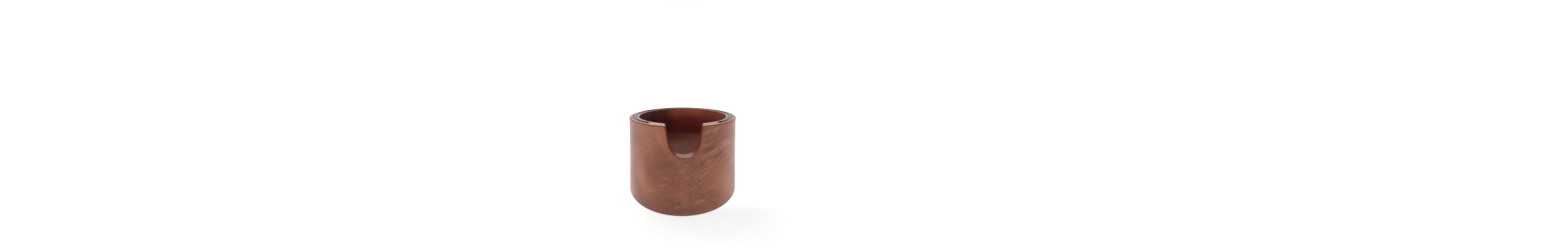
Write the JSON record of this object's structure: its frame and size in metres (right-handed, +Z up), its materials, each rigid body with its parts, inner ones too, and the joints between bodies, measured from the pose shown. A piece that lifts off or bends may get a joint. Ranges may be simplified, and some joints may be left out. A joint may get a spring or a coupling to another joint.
{
  "type": "portafilter tamping stand",
  "caption": "Low round turned wooden cup with a deep U notch through its front wall and a soft cord set in its rim, holding a portafilter level for tamping.",
  "frame": {"origin": "middle of the pad's underside, on the surface that the stand rests on", "axes": "+Z up along the turned axis, -Y through the middle of the notch, +X to the right when facing the notch"},
  "size_m": [0.0892, 0.0887, 0.0571],
  "materials": {
    "stained_wood": "reddish-brown stain under satin lacquer, with figured grain",
    "cord_silicone": "smooth satin black silicone",
    "pad_rubber": "matte dark rubber"
  },
  "bodies": {
    "root": {"turned_body": "stained_wood", "rim_cord": "cord_silicone", "base_pad": "pad_rubber"}
  },
  "joints": []
}
